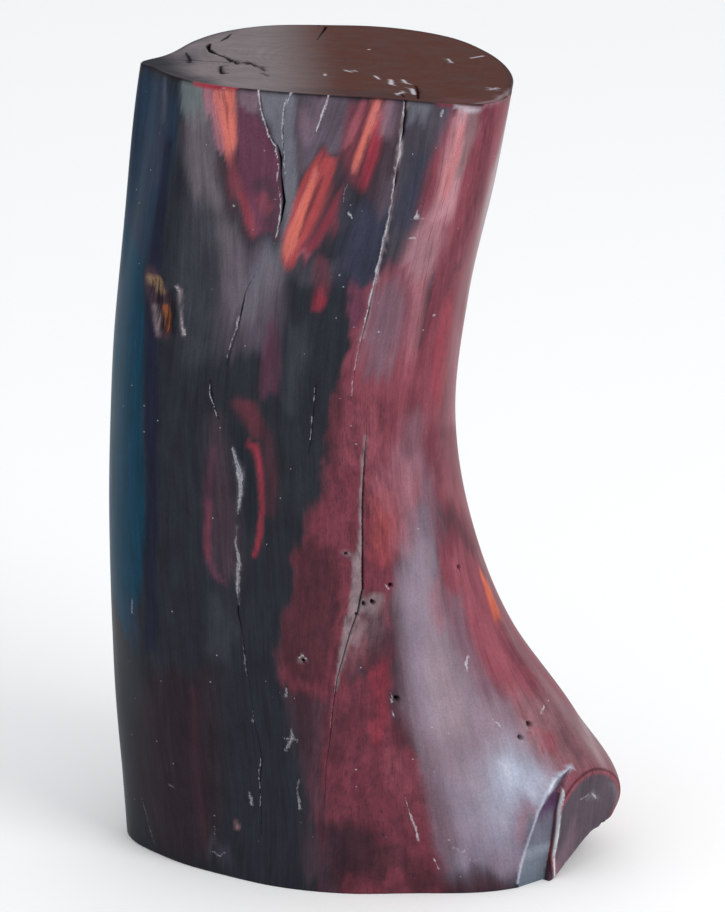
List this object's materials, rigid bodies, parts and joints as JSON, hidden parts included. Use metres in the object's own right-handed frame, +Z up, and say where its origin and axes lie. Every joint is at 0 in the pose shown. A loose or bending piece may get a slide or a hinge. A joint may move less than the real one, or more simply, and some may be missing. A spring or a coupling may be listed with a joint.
{
  "type": "polished log section",
  "caption": "Upright section of polished rosewood log with a flared foot, the sawn stub of a root, drying checks and a small knot pit.",
  "frame": {"origin": "bottom centre of the bounding box, on the floor under the sawn foot", "axes": "+Z up the log, +X to the picture's right where the root's stub is, +Y away from the camera"},
  "size_m": [0.2843, 0.1943, 0.453],
  "materials": {
    "polished_rosewood": "satin polish over dark heartwood, oiled sawn ends"
  },
  "bodies": {
    "root": {"log": "polished_rosewood"}
  },
  "joints": []
}
